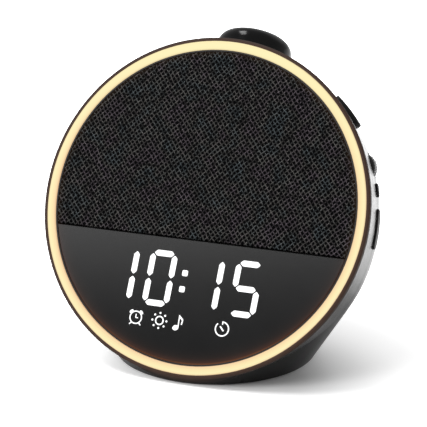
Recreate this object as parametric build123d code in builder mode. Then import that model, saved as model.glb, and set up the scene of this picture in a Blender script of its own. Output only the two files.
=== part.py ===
from build123d import *
from math import acos, atan2, cos, hypot, radians, sin, sqrt
import os

# Sunrise alarm clock: a ball-shaped housing with a leaning round face, a cloth
# speaker grille over a digit display, a glowing ring round both, a dial on top
# and push buttons with a thumbwheel on the right side.
# Millimetres, +Z up, the front looks along -Y, and the origin is on the table
# at the middle of the round foot, straight below the centre of the ball.

# ---------------------------------------------------------------- driving sizes
# Housing
ball_radius = 63.4
ball_sink = 6.8
wall = 2.4
foot_radius = 39.3
foot_gap = 0.5
floor_thickness = 3.4
well_angle = radians(66)
face_lean = 24.6
face_offset = 15.2
rim_overhang = 2.6
rim_edge = 1.5
collar_bite = 0.12
rim_round = 0.8
fit = 0.05
gap = 0.1

# Light ring and its lamps
rim_width = 1.4
ring_width = 3.36
ring_thickness = 2.4
ring_round = 0.4
channel_wall = 2.3
channel_depth = 8.2
reflector_wall = 0.5
reflector_floor = 0.6
lamp_board_width = 5.4
lamp_board_thickness = 1.2
lamp_count = 24
lamp_length = 2.0
lamp_width = 1.2
lamp_height = 1.0

# Front frame, which carries grille, lens, speaker and display
frame_lip = 0.6
frame_front = 0.4
ledge_depth = 2.8
ledge_width = 3.6
plate_depth = 5.0
plate_thickness = 2.0
divider_height = -13.05
divider_gap = 0.3
divider_web = 2.5
post_clearance = 0.6
post_radius = 3.2
post_length = 16.0
post_angles = (64, 116, 214, 326)
rib_thickness = 2.4

# Grille and lens
inlay_gap = 0.1
cloth_thickness = 0.65
cloth_round = 0.45
lens_chamfer = 0.25
slot_height = 1.8
slot_pitch = 4.2
slot_bar = 3.0
slot_bar_pitch = 30.0
grille_margin = 4.0

# Display
display_centre = -3.5
display_side = 2.1
display_top = -16.0
display_bottom = -49.6
display_flange = 1.4
display_ear = 5.0
display_flange_thickness = 1.0
display_screw_rows = (-19.5, -38.0)
digit_middle = -29.3
digit_height = 19.3
digit_width = 8.9
digit_pitch = 15.6
colon_pitch = 19.5
digit_slant = 2.5
segment_width = 2.2
segment_gap = 0.35
segment_depth = 3.0
colon_dot = 2.3
colon_spacing = 6.24
board_thickness = 1.6

# Speaker
speaker_height = 22.0
speaker_radius = 30.2
speaker_flange = 1.2
speaker_screw_circle = 27.6
speaker_screw_angles = (45, 135, 225, 315)
cone_radius = 19.0
cone_depth = 7.5
cone_wall = 0.6
surround_width = 4.2
surround_wall = 0.6
dust_cap_radius = 8.2
dust_cap_rise = 2.1
basket_base_radius = 13.2
basket_depth = 13.0
basket_wall = 1.5
basket_base = 1.0
basket_windows = 6
spoke_width = 4.0
magnet_radius = 15.0
magnet_height = 9.0
magnet_chamfer = 0.6
voice_coil_radius = 7.0
voice_coil_wall = 0.5
voice_coil_length = 4.0
coil_gap = 0.3

# Main board
main_board_depth = 15.0
main_board_width = 68.0
main_board_top = -9.0
main_board_foot = 1.7
main_board_margin = 3.5
standoff_radius = 2.4
standoff_high = -11.2
standoff_high_spread = 46.0
standoff_inset = 2.2
standoff_low_spread = 18.0
chip_height = 1.2
processor_width = 10.0
processor_place = (8.0, 30.0)
amplifier_width = 6.0
amplifier_place = (24.0, 22.0)
capacitor_radius = 3.0
capacitor_height = 8.0
capacitor_place = (10.0, 15.5)
capacitor_spread = 8.0
header_width = 22.0
header_thickness = 2.5
header_place = (-3.5, -21.0)
cell_place = (-20.0, 32.0)
cell_radius = 10.0
cell_thickness = 3.2
cell_wall = 1.1
cell_floor = 0.8
cell_notch = 8.0
cell_chamfer = 0.3

# Top dial with its push encoder
dial_tilt = 37.3
dial_radius = 15.0
dial_rise = 10.9
dial_crown = 1.2
dial_round = 5.0
dial_wall = 2.2
dial_hub_radius = 5.0
dial_travel = 0.6
shaft_radius = 3.0
shaft_flat = 1.5
bush_radius = 3.5
bush_length = 6.5
encoder_width = 12.4
encoder_height = 6.5
seat_depth = 2.5
seat_radius = 9.5
nut_flats = 11.0
nut_height = 2.0
spot_face_radius = 7.2
spot_face_depth = 0.8
plunger_radius = 4.4
plunger_height = 1.2
encoder_floor = 0.9
dial_slack = 0.2
dial_lift = 0.1
dial_bite = 0.6
dial_foot_chamfer = 0.4

# Controls on the right side
control_depth = 22.0
button_proud = 0.8
upper_button_proud = 2.0
button_width = 5.0
button_travel = 0.6
button_round = 0.5
upper_button_angle = 45.3
upper_button_length = 15.4
small_button_angle = 14.9
small_button_length = 5.4
lower_button_angle = 1.2
lower_button_length = 15.6
small_button_width = 3.4
flange_clearance = 0.8
flange_thickness = 1.4
flange_margin = 1.2
button_gap = 0.15
stem_width = 3.0
stem_shift = 1.4
small_button_margin = 0.2
stem_reach = 6.6
switch_length = 6.0
switch_reach = 4.5
switch_height = 5.2
actuator_radius = 0.9
actuator_length = 0.7
wheel_angle = 24.2
wheel_radius = 6.2
wheel_proud = 1.6
wheel_chamfer = 0.4
wheel_thickness = 4.0
wheel_gap = 0.4
wheel_teeth = 36
tooth_depth = 0.45
pin_radius = 1.2
pin_length = 3.6
pot_width = 9.0
pot_reach = 8.8
pot_height = 2.4
side_board_reach = 22.1
side_board_gap = 0.9
side_board_start = -10.0
side_board_end = 58.0
side_post_inset = 4.1
side_post_angles = (8, 40)
side_post_radius = 2.6

# Rear cover and power inlet
cover_radius = 30.0
cover_rim = 1.8
cover_ledge = 3.4
cover_ledge_thickness = 2.4
cover_boss_circle = 25.8
cover_boss_angles = (90, 210, 330)
cover_boss_radius = 3.0
cover_boss_length = 8.0
counterbore_radius = 2.8
counterbore_depth = 7.8
cover_screw_pad = 3.6
vent_length = 26.0
vent_width = 1.8
vent_pitch = 4.4
vent_count = 5
vent_height = 9.0
inlet_drop = 14.0
inlet_width = 8.94
inlet_height = 3.26
inlet_wall = 0.3
inlet_length = 7.3
tongue_width = 6.7
tongue_thickness = 0.7
inlet_sink = 0.2
inlet_back = 1.0
pocket_width = 15.0
pocket_height = 8.5
pocket_round = 2.0
pocket_depth = 3.6
inlet_pad_width = 22.0
inlet_pad_height = 14.0
inlet_pad_thickness = 3.3
rail_spread = 12.0
rail_width = 4.0
rail_height = 2.5
rail_length = 12.0
inlet_board_width = 17.0
inlet_board_length = 12.0
inlet_board_thickness = 1.2

# Foot pad
pad_radius = 29.5
foot_pad_thickness = 1.7

# Screws
screw_radius = 1.2
screw_head_radius = 2.5
screw_head_height = 1.5
screw_recess_width = 0.6
screw_recess_depth = 0.8
small_screw_length = 4.4

# ------------------------------------------------------------- derived geometry
lean = radians(face_lean)
ball_height = ball_radius - ball_sink
rim_radius = ball_radius + rim_overhang
ring_outer = rim_radius - rim_width
channel_radius = rim_radius - channel_wall
ball_centre = Vector(0, 0, ball_height)
face_normal = Vector(0, -cos(lean), sin(lean))
face_centre = ball_centre + face_normal * face_offset
face_plane = Plane(origin=face_centre, x_dir=(1, 0, 0), z_dir=face_normal)
face_axis = Axis(face_centre, face_normal)
axial_plane = Plane(origin=face_centre, x_dir=(1, 0, 0), z_dir=(0, -sin(lean), -cos(lean)))

ring_inner = ring_outer - ring_width
frame_radius = ring_inner - gap
inlay_radius = frame_radius - frame_lip - inlay_gap
ledge_inner = frame_radius - ledge_width
face_width = 2 * frame_radius
plate_back = plate_depth + plate_thickness
lamp_board_front = channel_depth - lamp_board_thickness
lamp_board_outer = channel_radius - gap
lamp_circle = (frame_radius + channel_radius) / 2
post_circle = lamp_board_outer - lamp_board_width - post_radius - post_clearance
main_board_radius = ball_radius - wall - main_board_margin
main_board_bottom = main_board_foot - main_board_radius
standoff_low = main_board_bottom + standoff_inset
encoder_seat = ball_radius - wall - seat_depth
counterbore_floor = ball_radius - counterbore_depth
pocket_floor = ball_radius - pocket_depth
inlet_mouth = pocket_floor - inlet_sink
display_width = colon_pitch + 2 * digit_pitch + digit_width + segment_width + 2 * display_side
lens_top = divider_height - divider_gap / 2
cloth_bottom = divider_height + divider_gap / 2

foot_angle = atan2(foot_radius, ball_height - foot_gap)
foot_tangent = foot_angle + acos(ball_radius / hypot(foot_radius, ball_height - foot_gap))

dial_angle = radians(dial_tilt)
dial_plane = Plane(origin=ball_centre, x_dir=(1, 0, 0), z_dir=(0, sin(dial_angle), cos(dial_angle)))
rear_plane = Plane(origin=ball_centre, x_dir=(-1, 0, 0), z_dir=(0, 1, 0))
cover_seat = sqrt(ball_radius**2 - cover_radius**2) - cover_rim
control_radius = sqrt(ball_radius**2 - (control_depth - face_offset) ** 2)
button_back = control_depth - face_offset + button_width / 2 + flange_margin
flange_top = sqrt((ball_radius - wall) ** 2 - button_back**2) - flange_clearance
switch_top = flange_top - stem_reach


def at_depth(depth):
    """Plane parallel to the face, the given depth behind it."""
    return face_plane.offset(-depth)


def behind(depth):
    """Plane at a depth that looks backwards; its y runs down the face."""
    return Plane(origin=at_depth(depth).origin, x_dir=(1, 0, 0), z_dir=face_normal * -1)


def dial_at(height):
    """Plane across the dial's axis, at a distance from the ball's centre."""
    return dial_plane.offset(height)


def rear_at(distance):
    """Plane across the rear cover's axis, at a distance from the ball's centre."""
    return rear_plane.offset(distance)


def outward(angle, distance=0.0):
    """Plane that looks out of the ball's side at an angle round the face axis."""
    turn = radians(angle)
    side = face_plane.x_dir * cos(turn) + face_plane.y_dir * sin(turn)
    along = face_plane.y_dir * cos(turn) - face_plane.x_dir * sin(turn)
    middle = face_centre - face_normal * control_depth
    return Plane(origin=middle + side * distance, x_dir=along, z_dir=side)


def tan_of(angle):
    """Tangent of an angle in radians."""
    return sin(angle) / cos(angle)


def screw_at(plane, length):
    """Pan head screw whose head rests on the plane, with its shank below."""
    with BuildPart() as screw:
        with BuildSketch(plane):
            Circle(screw_head_radius)
        extrude(amount=screw_head_height)
        chamfer(screw.faces().sort_by(Axis(plane.origin, plane.z_dir))[-1].edges(), screw_head_height / 3)
        with BuildSketch(plane):
            Circle(screw_radius)
        extrude(amount=-length)
        with BuildSketch(plane.offset(screw_head_height)):
            Rectangle(screw_head_radius, screw_recess_width)
            Rectangle(screw_recess_width, screw_head_radius)
        extrude(amount=-screw_recess_depth, mode=Mode.SUBTRACT)
    return screw.part


def moved_in(plane, x, y):
    """The same plane with its origin moved along its own two directions."""
    return Plane(origin=plane.from_local_coords((x, y, 0)), x_dir=plane.x_dir, z_dir=plane.z_dir)


def wall_post(depth, place, radius):
    """Post from a depth behind the face to the middle of the ball's wall."""
    with BuildPart() as form:
        with BuildSketch(at_depth(depth)):
            with Locations(place):
                Circle(radius)
        extrude(amount=depth - face_offset - ball_radius)
        with Locations(ball_centre):
            Sphere(ball_radius - wall / 2, mode=Mode.INTERSECT)
    return form.part


def polar_point(radius, angle):
    """Point at a radius and an angle in degrees."""
    return (radius * cos(radians(angle)), radius * sin(radians(angle)))


def slanted(x, height):
    """Point of the display, leaned with the digits."""
    return (x + (height - digit_middle) * tan_of(radians(digit_slant)), height)


def bar_outline(x, height, across, along, grown):
    """Six-cornered outline of a light bar; one of its half sizes includes the pointed ends."""
    half = segment_width / 2 + grown
    wide = across / 2 - segment_gap + grown
    tall = along / 2 - segment_gap + grown
    if across > along:
        corners = [(wide, 0), (wide - half, half), (half - wide, half)]
    else:
        corners = [(0, tall), (-half, tall - half), (-half, half - tall)]
    corners += [(-a, -b) for a, b in corners]
    return [slanted(x + a, height + b) for a, b in corners]


def segment_outlines(grown):
    """Outlines of the seven bars of each digit and of the two dots."""
    outlines = []
    half_height = digit_height / 2
    inner = colon_pitch / 2
    outer = inner + digit_pitch
    columns = [-outer, -inner, inner, outer]
    for column in columns:
        middle = display_centre + column
        for row in (-half_height, 0, half_height):
            outlines.append(bar_outline(middle, digit_middle + row, digit_width, 0, grown))
        for side in (-digit_width / 2, digit_width / 2):
            for row in (-half_height / 2, half_height / 2):
                outlines.append(bar_outline(middle + side, digit_middle + row, 0, half_height, grown))
    half = colon_dot / 2 + grown
    for row in (-colon_spacing / 2, colon_spacing / 2):
        height = digit_middle + row
        corners = [(-half, -half), (half, -half), (half, half), (-half, half)]
        outlines.append([slanted(display_centre + a, height + b) for a, b in corners])
    return outlines


def button_form(angle, length, width, margin, proud):
    """Push button: a domed head, a wider flange inside the wall and a stem."""
    with BuildPart() as form:
        with BuildSketch(outward(angle, flange_top)):
            SlotOverall(length, width)
        extrude(amount=ball_radius + proud - flange_top)
        with Locations(ball_centre):
            Sphere(ball_radius + proud, mode=Mode.INTERSECT)
        fillet(form.faces().filter_by(GeomType.SPHERE).edges(), button_round)
        with BuildSketch(outward(angle, flange_top - flange_thickness)):
            RectangleRounded(length + 2 * margin, width + 2 * flange_margin, width / 2)
        extrude(amount=flange_thickness)
        with BuildSketch(outward(angle, switch_top + actuator_length + button_travel + gap)):
            with Locations((0, stem_shift)):
                Rectangle(stem_width, stem_width)
        extrude(amount=flange_top - flange_thickness - switch_top - actuator_length - button_travel - gap)
    return form.part


# ---------------------------------------------------------------------- housing
# One moulded shell: rabbet for the light ring, channel for its lamps, posts for
# the front frame and the side board, openings for dial, buttons, wheel and cover.
wheel_centre = control_radius + wheel_proud - wheel_radius
wheel_front = control_depth - wheel_thickness / 2
side_board_back = wheel_front - gap - pot_height
side_board_front = side_board_back - board_thickness
side_board_outer = sqrt((ball_radius - wall) ** 2 - (side_board_back - face_offset) ** 2) - side_board_gap
side_board_inner = side_board_outer - side_board_reach
side_post_circle = side_board_inner + side_post_inset

foot_top = (ball_radius * sin(foot_tangent), ball_height - ball_radius * cos(foot_tangent))
floor_top = foot_gap + floor_thickness
foot_inner = foot_radius + floor_thickness / tan_of(foot_tangent) - wall / sin(foot_tangent)
well_top = (foot_inner + (foot_top[1] - floor_top) / tan_of(well_angle), foot_top[1])

collar_ahead = face_offset - rim_edge
touch = acos(ball_radius / hypot(rim_radius, collar_ahead)) - atan2(collar_ahead, rim_radius)
collar_reach = ball_radius - collar_bite
collar_back = (collar_reach * cos(touch), -face_offset - collar_reach * sin(touch))
ball_top = (0, ball_height + ball_radius)

with BuildPart() as main_housing:
    with BuildSketch(Plane.XZ):
        with BuildLine():
            Polyline(ball_top, (0, foot_gap), (foot_radius, foot_gap), foot_top)
            ThreePointArc(foot_top, (ball_radius, ball_height), ball_top)
        make_face()
    revolve(axis=Axis.Z)
    with BuildSketch(axial_plane):
        collar = ((0, 0), (rim_radius, 0), (rim_radius, -rim_edge), collar_back, (0, collar_back[1]))
        Polygon(*collar, align=None)
    revolve(axis=face_axis)
    split(bisect_by=face_plane, keep=Keep.BOTTOM)
    split(bisect_by=Plane.XY.offset(foot_gap), keep=Keep.TOP)
    fillet(main_housing.edges().filter_by(GeomType.CIRCLE).sort_by(face_axis)[-1], rim_round)
    with BuildSketch(Plane.XZ):
        with Locations((0, ball_height)):
            Circle(ball_radius - wall)
        Polygon((0, floor_top), (foot_inner, floor_top), well_top, (0, well_top[1]), align=None)
        with Locations((0, floor_top)):
            Rectangle(ball_radius, 2 * ball_radius, align=(Align.MIN, Align.MIN), mode=Mode.INTERSECT)
    revolve(axis=Axis.Z, mode=Mode.SUBTRACT)
    with BuildSketch(at_depth(ring_thickness)):
        Circle(ring_outer + fit)
    extrude(amount=ring_thickness, mode=Mode.SUBTRACT)
    with BuildSketch(at_depth(channel_depth)):
        Circle(channel_radius)
    extrude(amount=channel_depth, mode=Mode.SUBTRACT)

    # Posts with gussets for the front frame's screws
    for angle in post_angles:
        with BuildSketch(at_depth(plate_back + post_length)):
            with Locations(polar_point(post_circle, angle)):
                Circle(post_radius)
        extrude(amount=post_length)
        with BuildSketch(at_depth(plate_back + post_length)):
            with Locations(polar_point((post_circle + ball_radius - wall / 2) / 2, angle)):
                Rectangle(ball_radius - wall / 2 - post_circle, rib_thickness, rotation=angle)
        extrude(amount=plate_back + post_length - channel_depth - gap)
        with BuildSketch(at_depth(plate_back)):
            with Locations(polar_point(post_circle, angle)):
                Circle(screw_radius + fit)
        extrude(amount=-post_length / 2, mode=Mode.SUBTRACT)

    # Posts for the side board, from the back of the ball
    for angle in side_post_angles:
        add(wall_post(side_board_back, polar_point(side_post_circle, angle), side_post_radius))
        with BuildSketch(at_depth(side_board_back)):
            with Locations(polar_point(side_post_circle, angle)):
                Circle(screw_radius + fit)
        extrude(amount=-post_length / 2, mode=Mode.SUBTRACT)

    # Seat, spot face and bore for the dial's encoder
    with BuildSketch(dial_at(encoder_seat)):
        Circle(seat_radius)
    extrude(amount=ball_radius - wall / 2 - encoder_seat)
    with BuildSketch(dial_at(ball_radius - spot_face_depth)):
        Circle(spot_face_radius)
    extrude(amount=2 * spot_face_depth, mode=Mode.SUBTRACT)
    with BuildSketch(dial_at(encoder_seat)):
        Circle(bush_radius + gap)
    extrude(amount=ball_radius - encoder_seat, mode=Mode.SUBTRACT)

    # Button holes and the thumbwheel's slot
    for angle, length, width in (
        (upper_button_angle, upper_button_length, button_width),
        (small_button_angle, small_button_length, small_button_width),
        (lower_button_angle, lower_button_length, button_width),
    ):
        with BuildSketch(outward(angle, flange_top)):
            SlotOverall(length + 2 * button_gap, width + 2 * button_gap)
        extrude(amount=ball_radius - flange_top + upper_button_proud, mode=Mode.SUBTRACT)
    with BuildSketch(at_depth(wheel_front + wheel_thickness + wheel_gap)):
        with Locations(polar_point(wheel_centre, wheel_angle)):
            Circle(wheel_radius + wheel_gap)
    extrude(amount=wheel_thickness + 2 * wheel_gap, mode=Mode.SUBTRACT)

    # Ledge, bosses and opening for the rear cover
    with BuildSketch(rear_at(cover_seat - cover_ledge_thickness)):
        Circle(cover_radius + wall)
    extrude(amount=cover_ledge_thickness)
    with BuildSketch(rear_at(cover_seat)):
        Circle(cover_radius + gap)
    extrude(amount=ball_radius - cover_seat, mode=Mode.SUBTRACT)
    with BuildSketch(rear_at(cover_seat - cover_ledge_thickness)):
        Circle(cover_radius - cover_ledge)
    extrude(amount=cover_ledge_thickness, mode=Mode.SUBTRACT)
    with BuildSketch(rear_at(cover_seat - cover_boss_length)):
        with Locations(*(polar_point(cover_boss_circle, angle) for angle in cover_boss_angles)):
            Circle(cover_boss_radius)
            Circle(screw_radius + fit, mode=Mode.SUBTRACT)
    extrude(amount=cover_boss_length)
    with BuildSketch(rear_at(cover_seat)):
        with Locations(*(polar_point(cover_boss_circle, angle) for angle in cover_boss_angles)):
            Circle(screw_radius + fit)
    extrude(amount=-cover_boss_length, mode=Mode.SUBTRACT)

    # Recess for the foot pad
    with BuildSketch(Plane.XY):
        Circle(pad_radius + gap)
    extrude(amount=foot_pad_thickness, mode=Mode.SUBTRACT)
main_housing.part.label = "main_housing"

# Round rubber pad stuck into the foot; the clock stands on it.
with BuildPart() as foot_pad:
    with BuildSketch(Plane.XY):
        Circle(pad_radius)
    extrude(amount=foot_pad_thickness)
    chamfer(foot_pad.edges().sort_by(Axis.Z)[0], foot_gap / 2)
foot_pad.part.label = "foot_pad"

# ------------------------------------------------------------------- light ring
# Milky diffuser that fills the rabbet in the housing's front edge.
with BuildPart() as light_ring:
    with BuildSketch(at_depth(ring_thickness)):
        Circle(ring_outer)
        Circle(ring_inner, mode=Mode.SUBTRACT)
    extrude(amount=ring_thickness)
    fillet(light_ring.faces().sort_by(face_axis)[-1].edges(), ring_round)
light_ring.part.label = "light_ring"

# White channel behind the diffuser, with a window for each lamp.
reflector_front = ring_thickness + gap
with BuildPart() as ring_reflector:
    with BuildSketch(at_depth(lamp_board_front)):
        Circle(channel_radius - gap)
        Circle(frame_radius + gap, mode=Mode.SUBTRACT)
    extrude(amount=lamp_board_front - reflector_front)
    with BuildSketch(at_depth(lamp_board_front - reflector_floor)):
        Circle(channel_radius - gap - reflector_wall)
        Circle(frame_radius + gap + reflector_wall, mode=Mode.SUBTRACT)
    extrude(amount=lamp_board_front - reflector_front, mode=Mode.SUBTRACT)
    with BuildSketch(at_depth(lamp_board_front)):
        with PolarLocations(lamp_circle, lamp_count):
            Rectangle(lamp_width + gap, lamp_length + gap)
    extrude(amount=reflector_floor, mode=Mode.SUBTRACT)
ring_reflector.part.label = "ring_reflector"

# Ring-shaped circuit board on the channel's step.
with BuildPart() as ring_board:
    with BuildSketch(at_depth(channel_depth)):
        Circle(lamp_board_outer)
        Circle(lamp_board_outer - lamp_board_width, mode=Mode.SUBTRACT)
    extrude(amount=lamp_board_thickness)
ring_board.part.label = "ring_board"

# Warm white lamps, evenly round the ring.
with BuildPart() as ring_lamps:
    with BuildSketch(at_depth(lamp_board_front)):
        with PolarLocations(lamp_circle, lamp_count):
            Rectangle(lamp_width, lamp_length)
    extrude(amount=lamp_height)
ring_lamps.part.label = "ring_lamps"

# ------------------------------------------------------------------ front frame
# Black carrier: a lip that shows as a thin line, a ledge for grille and lens, a
# web between them, and a plate with the speaker and display openings.
display_left = display_centre - display_width / 2
display_rows = (display_top + display_bottom) / 2
display_span = display_top - display_bottom
display_right = display_left + display_width
display_screw_places = [
    (column, row)
    for column in (display_left - display_ear / 2, display_right + display_ear / 2)
    for row in display_screw_rows
]
standoff_places = [
    (-standoff_high_spread / 2, standoff_high),
    (standoff_high_spread / 2, standoff_high),
    (-standoff_low_spread / 2, standoff_low),
    (standoff_low_spread / 2, standoff_low),
]
speaker_screw_places = [
    (x, speaker_height + y)
    for x, y in (polar_point(speaker_screw_circle, angle) for angle in speaker_screw_angles)
]

with BuildPart() as front_frame:
    with BuildSketch(at_depth(plate_back)):
        Circle(frame_radius)
    extrude(amount=plate_back - frame_front)
    with BuildSketch(at_depth(ledge_depth)):
        Circle(inlay_radius + inlay_gap)
    extrude(amount=ledge_depth, mode=Mode.SUBTRACT)
    with BuildSketch(at_depth(plate_depth)):
        Circle(ledge_inner)
        with Locations((0, divider_height)):
            Rectangle(2 * frame_radius, divider_web, mode=Mode.SUBTRACT)
    extrude(amount=plate_depth - ledge_depth, mode=Mode.SUBTRACT)
    with BuildSketch(at_depth(plate_back)):
        with Locations((0, speaker_height)):
            Circle(cone_radius + surround_width + fit)
        with Locations((display_centre, display_rows)):
            Rectangle(display_width + 2 * gap, display_span + 2 * gap)
        Circle(ledge_inner, mode=Mode.INTERSECT)
    extrude(amount=plate_thickness, mode=Mode.SUBTRACT)
    with BuildSketch(at_depth(plate_back)):
        with Locations(*(polar_point(post_circle, angle) for angle in post_angles)):
            Circle(screw_radius + 2 * gap)
    extrude(amount=plate_thickness, mode=Mode.SUBTRACT)
    with BuildSketch(at_depth(plate_back)):
        with Locations(*display_screw_places):
            Circle(screw_radius + fit)
        with Locations(*speaker_screw_places):
            Circle(screw_radius + fit)
    extrude(amount=plate_thickness, mode=Mode.SUBTRACT)
    # Standoffs for the main board
    with BuildSketch(at_depth(plate_back)):
        with Locations(*standoff_places):
            Circle(standoff_radius)
            Circle(screw_radius + fit, mode=Mode.SUBTRACT)
    extrude(amount=plate_back - main_board_depth)
front_frame.part.label = "front_frame"

with BuildPart() as frame_screws:
    for angle in post_angles:
        add(screw_at(moved_in(at_depth(plate_depth), *polar_point(post_circle, angle)), post_length / 2))
frame_screws.part.label = "frame_screws"

# -------------------------------------------------------------- grille and lens
# Slotted plate that carries the cloth.
cloth_back = frame_front + cloth_thickness
grille_radius = inlay_radius - cloth_thickness - gap
grille_bottom = cloth_bottom + cloth_thickness + gap
slot_rows = int((grille_radius - grille_bottom - 2 * grille_margin) / slot_pitch)

with BuildPart() as grille_plate:
    with BuildSketch(at_depth(ledge_depth)):
        Circle(grille_radius)
        with Locations((0, grille_bottom)):
            Rectangle(face_width, face_width, align=(Align.CENTER, Align.MIN), mode=Mode.INTERSECT)
    extrude(amount=ledge_depth - cloth_back)
    with BuildSketch(at_depth(ledge_depth)):
        with Locations((0, (grille_radius + grille_bottom) / 2)):
            with GridLocations(0, slot_pitch, 1, slot_rows):
                Rectangle(2 * frame_radius, slot_height)
        Circle(grille_radius - grille_margin, mode=Mode.INTERSECT)
        with GridLocations(slot_bar_pitch, 0, 3, 1):
            Rectangle(slot_bar, 2 * frame_radius, mode=Mode.SUBTRACT)
    extrude(amount=ledge_depth, mode=Mode.SUBTRACT)
grille_plate.part.label = "grille_plate"

# Woven cloth drawn over the plate and down its edge.
with BuildPart() as grille_cloth:
    with BuildSketch(at_depth(ledge_depth)):
        Circle(inlay_radius)
        with Locations((0, cloth_bottom)):
            Rectangle(face_width, face_width, align=(Align.CENTER, Align.MIN), mode=Mode.INTERSECT)
    extrude(amount=ledge_depth - frame_front)
    fillet(grille_cloth.faces().sort_by(face_axis)[-1].edges(), cloth_round)
    with BuildSketch(at_depth(ledge_depth)):
        Circle(inlay_radius - cloth_thickness)
        with Locations((0, cloth_bottom + cloth_thickness)):
            Rectangle(face_width, face_width, align=(Align.CENTER, Align.MIN), mode=Mode.INTERSECT)
    extrude(amount=ledge_depth - cloth_back, mode=Mode.SUBTRACT)
grille_cloth.part.label = "grille_cloth"

# Smoked window that closes the lower part of the face.
with BuildPart() as display_lens:
    with BuildSketch(at_depth(ledge_depth)):
        Circle(inlay_radius)
        with Locations((0, lens_top)):
            Rectangle(face_width, face_width, align=(Align.CENTER, Align.MAX), mode=Mode.INTERSECT)
    extrude(amount=ledge_depth - frame_front)
    chamfer(display_lens.faces().sort_by(face_axis)[-1].edges(), lens_chamfer)
display_lens.part.label = "display_lens"

# --------------------------------------------------------------- display module
# Dark block behind the window, with a well for each light bar of the digits.
module_front = ledge_depth + gap
module_back = plate_back + display_flange_thickness

with BuildPart() as display_module:
    with BuildSketch(at_depth(module_back)):
        with Locations((display_centre, display_rows)):
            Rectangle(display_width, display_span)
        Circle(ledge_inner - gap, mode=Mode.INTERSECT)
    extrude(amount=module_back - module_front)
    with BuildSketch(at_depth(module_back)):
        with Locations((display_centre, display_rows)):
            Rectangle(display_width + 2 * display_ear, display_span + 2 * display_flange)
        Circle(lamp_board_outer - lamp_board_width - gap, mode=Mode.INTERSECT)
        with Locations(*display_screw_places):
            Circle(screw_radius + fit, mode=Mode.SUBTRACT)
    extrude(amount=display_flange_thickness)
    with BuildSketch(at_depth(module_front)):
        for outline in segment_outlines(segment_gap / 4):
            Polygon(*outline, align=None)
    extrude(amount=-segment_depth, mode=Mode.SUBTRACT)
display_module.part.label = "display_module"

# Milky light bars of the four digits and the two dots.
with BuildPart() as digit_segments:
    with BuildSketch(at_depth(module_front)):
        for outline in segment_outlines(0):
            Polygon(*outline, align=None)
    extrude(amount=-segment_depth)
digit_segments.part.label = "digit_segments"

# Circuit board screwed to the frame through the module's flange.
with BuildPart() as display_board:
    with BuildSketch(at_depth(module_back + board_thickness)):
        with Locations((display_centre, display_rows)):
            Rectangle(display_width + 2 * display_ear, display_span + 2 * display_flange)
        Circle(lamp_board_outer - lamp_board_width - gap, mode=Mode.INTERSECT)
        with Locations(*display_screw_places):
            Circle(screw_radius + fit, mode=Mode.SUBTRACT)
        with Locations(*[polar_point(post_circle, angle) for angle in post_angles]):
            Circle(post_radius + gap, mode=Mode.SUBTRACT)
    extrude(amount=board_thickness)
display_board.part.label = "display_board"

with BuildPart() as display_screws:
    for place in display_screw_places:
        seat = moved_in(behind(module_back + board_thickness), place[0], -place[1])
        add(screw_at(seat, small_screw_length))
display_screws.part.label = "display_screws"

# ---------------------------------------------------------------------- speaker
# Pressed basket with windows round its cone.
speaker_axis = Axis(moved_in(face_plane, 0, speaker_height).origin, face_normal)
speaker_section = Plane(origin=speaker_axis.position, x_dir=(1, 0, 0), z_dir=axial_plane.z_dir)
roll_radius = surround_width / 2
basket_bore = cone_radius + surround_width + gap
flange_back = -plate_back - speaker_flange
basket_back = -plate_back - basket_depth

with BuildPart() as speaker_basket:
    with BuildSketch(speaker_section):
        Polygon(
            (basket_bore, -plate_back),
            (speaker_radius, -plate_back),
            (speaker_radius, flange_back),
            (basket_bore + basket_wall, flange_back),
            (basket_base_radius + basket_wall, basket_back + basket_base),
            (basket_base_radius + basket_wall, basket_back),
            (voice_coil_radius + coil_gap, basket_back),
            (voice_coil_radius + coil_gap, basket_back + basket_base),
            (basket_base_radius, basket_back + basket_base),
            (basket_bore, flange_back),
            align=None,
        )
    revolve(axis=speaker_axis)
    with BuildSketch(moved_in(at_depth(-basket_back - basket_base), 0, speaker_height)):
        Circle(basket_bore - gap)
        Circle(basket_base_radius + basket_wall, mode=Mode.SUBTRACT)
        with PolarLocations(basket_bore / 2, basket_windows // 2):
            Rectangle(4 * basket_bore, spoke_width, mode=Mode.SUBTRACT)
    extrude(amount=basket_depth - basket_base - speaker_flange, mode=Mode.SUBTRACT)
    with BuildSketch(at_depth(-flange_back)):
        with Locations(*speaker_screw_places):
            Circle(screw_radius + fit)
    extrude(amount=speaker_flange, mode=Mode.SUBTRACT)
speaker_basket.part.label = "speaker_basket"

# Rubber half roll between basket and cone.
roll_middle = cone_radius + roll_radius
roll_level = flange_back + surround_wall

with BuildPart() as speaker_surround:
    with BuildSketch(speaker_section):
        with Locations((roll_middle, roll_level)):
            Circle(roll_radius)
            Circle(roll_radius - surround_wall, mode=Mode.SUBTRACT)
            Rectangle(surround_width, surround_width, align=(Align.CENTER, Align.MAX), mode=Mode.SUBTRACT)
    revolve(axis=speaker_axis)
speaker_surround.part.label = "speaker_surround"

# Paper cone with its dust cap and the coil former.
cone_edge = cone_radius + surround_wall
cone_front = roll_level - gap
cone_back = cone_front - cone_depth

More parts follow.
